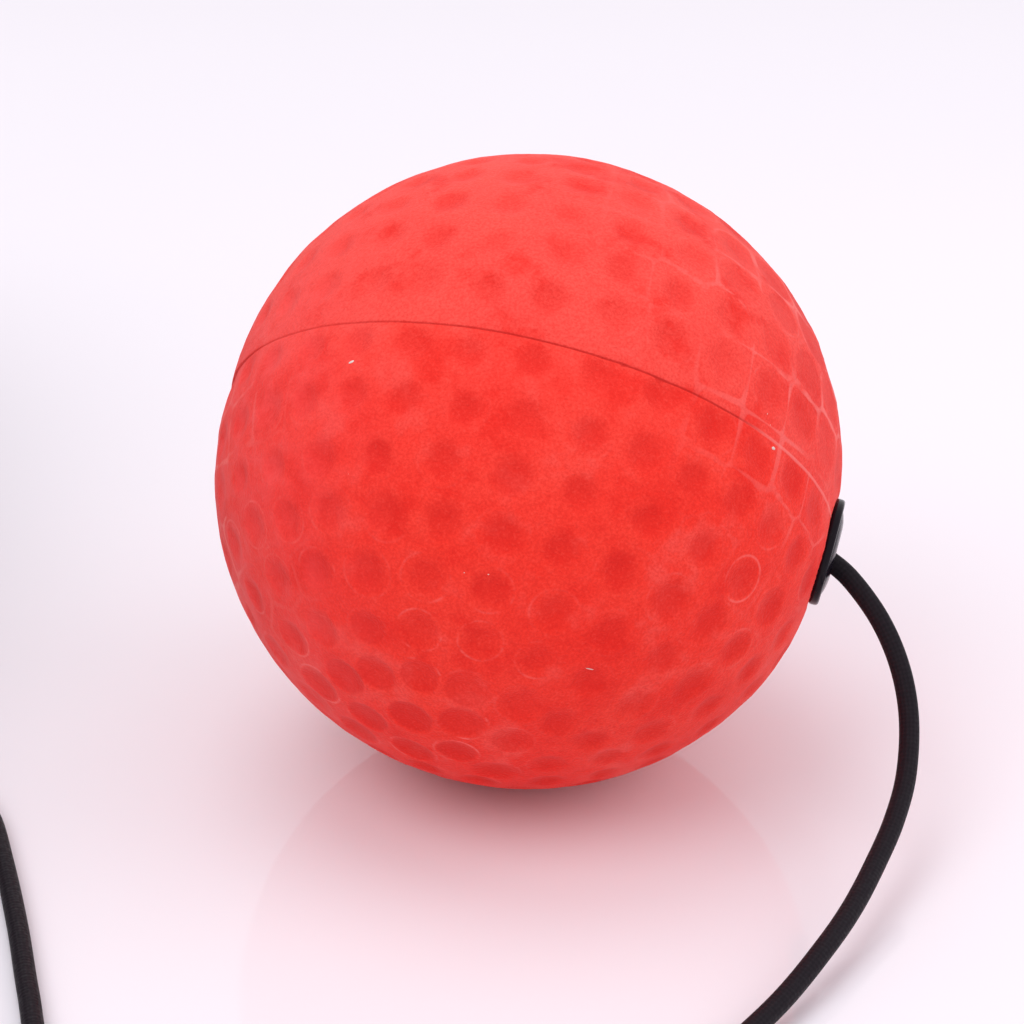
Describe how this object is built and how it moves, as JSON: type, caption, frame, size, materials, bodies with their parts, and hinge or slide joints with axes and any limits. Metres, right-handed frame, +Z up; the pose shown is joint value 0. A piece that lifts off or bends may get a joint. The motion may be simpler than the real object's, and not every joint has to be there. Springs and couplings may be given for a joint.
{
  "type": "reflex ball headband",
  "caption": "Dimpled foam reflex ball on a thin elastic cord knotted into a padded oval headband with a peel-open hook and loop closure.",
  "frame": {"origin": "on the surface that the object stands on, under the middle of the box round the headband and the ball, without the cord", "axes": "+Z up, +X from the headband towards the ball, -Y the way the forehead patch faces"},
  "size_m": [0.2679, 0.1988, 0.064],
  "materials": {
    "foam_red": "matte",
    "plug_black": "gloss",
    "washer_steel": "satin",
    "cord_black": "matte",
    "tie_black": "matte",
    "band_fabric": "matte",
    "padding_grey": "matte",
    "lining_mesh": "matte",
    "binding_tape": "matte",
    "grip_silicone": "satin",
    "patch_leather": "satin",
    "eyelet_metal": "polished",
    "loop_pile": "matte",
    "hook_black": "matte"
  },
  "bodies": {
    "headband": {"ball_washer": "washer_steel", "ball_knot": "cord_black", "cord_ball_lead": "cord_black", "cord_coil": "cord_black", "cord_band_lead": "cord_black", "coil_tie": "tie_black", "band_outer": "band_fabric", "band_foam": "padding_grey", "band_lining": "lining_mesh", "top_binding": "binding_tape", "bottom_binding": "binding_tape", "grip_strip_lower": "grip_silicone", "grip_strip_upper": "grip_silicone", "front_patch": "patch_leather", "eyelet_flange": "eyelet_metal", "eyelet_washer": "eyelet_metal", "band_knot": "cord_black", "loop_patch": "loop_pile"},
    "ball": {"ball_foam": "foam_red", "ball_plug": "plug_black"},
    "closure": {"closure_tab": "patch_leather", "hook_patch": "hook_black"}
  },
  "joints": [
    {"name": "ball_swivel", "type": "hinge", "parent": "headband", "child": "ball", "pos_m": [0.0985, -0.029, 0.032], "axis": [0.9601, -0.204, -0.191], "continuous": true},
    {"name": "closure_peel", "type": "hinge", "parent": "headband", "child": "closure", "pos_m": [-0.02716, 0.07237, 0.025], "axis": [0, 0, -1], "range_deg": [0, 85]}
  ]
}
